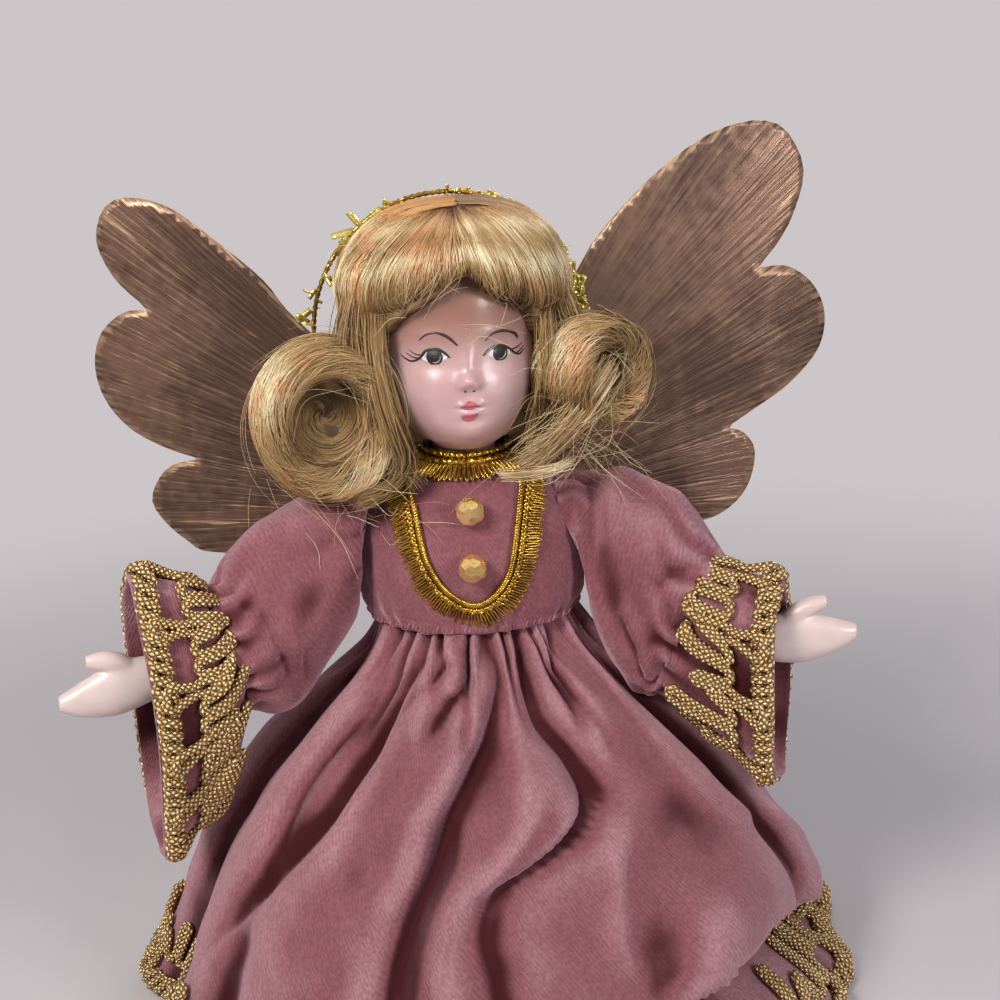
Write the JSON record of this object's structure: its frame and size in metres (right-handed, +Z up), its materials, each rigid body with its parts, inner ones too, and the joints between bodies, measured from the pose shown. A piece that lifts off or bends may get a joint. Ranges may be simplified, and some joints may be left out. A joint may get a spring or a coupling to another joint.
{
  "type": "angel doll",
  "caption": "Standing angel doll for a tree top or a table: velvet dress over a card cone, wax head and hands, rolled hair, tinsel halo and foil card wings.",
  "frame": {"origin": "centre of the doll's base, on the surface that it stands on", "axes": "+Z up towards the wing tips; the doll faces -Y; +X is towards the arm on the right as seen from in front"},
  "size_m": [0.2313, 0.2267, 0.2572],
  "materials": {
    "card": "matte",
    "net": "open net",
    "velvet": "velvet pile",
    "gilt_cord": "metallic thread",
    "stuffing": "matte",
    "wire": "paper wrapped",
    "gilt_bead": "faceted gilt",
    "wood": "plain",
    "wax": "polished wax",
    "hair": "satin fibre",
    "tinsel": "bright foil",
    "foil_card": "copper foil"
  },
  "bodies": {
    "doll": {"cone_base": "card", "underskirt": "net", "skirt": "velvet", "hem_braid": "gilt_cord", "torso_core": "stuffing", "shoulder_wire": "wire", "bodice": "velvet", "collar_trim": "gilt_cord", "necklace_trim": "gilt_cord", "upper_bead": "gilt_bead", "lower_bead": "gilt_bead", "neck_peg": "wood", "wing_tab": "card", "left_wing": "foil_card", "right_wing": "foil_card"},
    "head": {"head": "wax", "hair_crown": "hair", "hair_fringe": "hair", "left_roll": "hair", "right_roll": "hair", "halo": "tinsel"},
    "left_arm": {"left_sleeve": "velvet", "left_cuff": "velvet", "left_cuff_braid": "gilt_cord", "left_arm_wire": "wire", "left_hand": "wax"},
    "right_arm": {"right_sleeve": "velvet", "right_cuff": "velvet", "right_cuff_braid": "gilt_cord", "right_arm_wire": "wire", "right_hand": "wax"}
  },
  "joints": [
    {"name": "head_turn", "type": "hinge", "parent": "doll", "child": "head", "pos_m": [0, 0, 0.163], "axis": [0, 0, 1], "range_deg": [-18, 3]},
    {"name": "left_arm_swing", "type": "hinge", "parent": "doll", "child": "left_arm", "pos_m": [-0.033, -0.002, 0.143], "axis": [0, 0, 1], "range_deg": [-8, 18]},
    {"name": "right_arm_swing", "type": "hinge", "parent": "doll", "child": "right_arm", "pos_m": [0.033, -0.002, 0.143], "axis": [0, 0, -1], "range_deg": [-8, 18]}
  ]
}
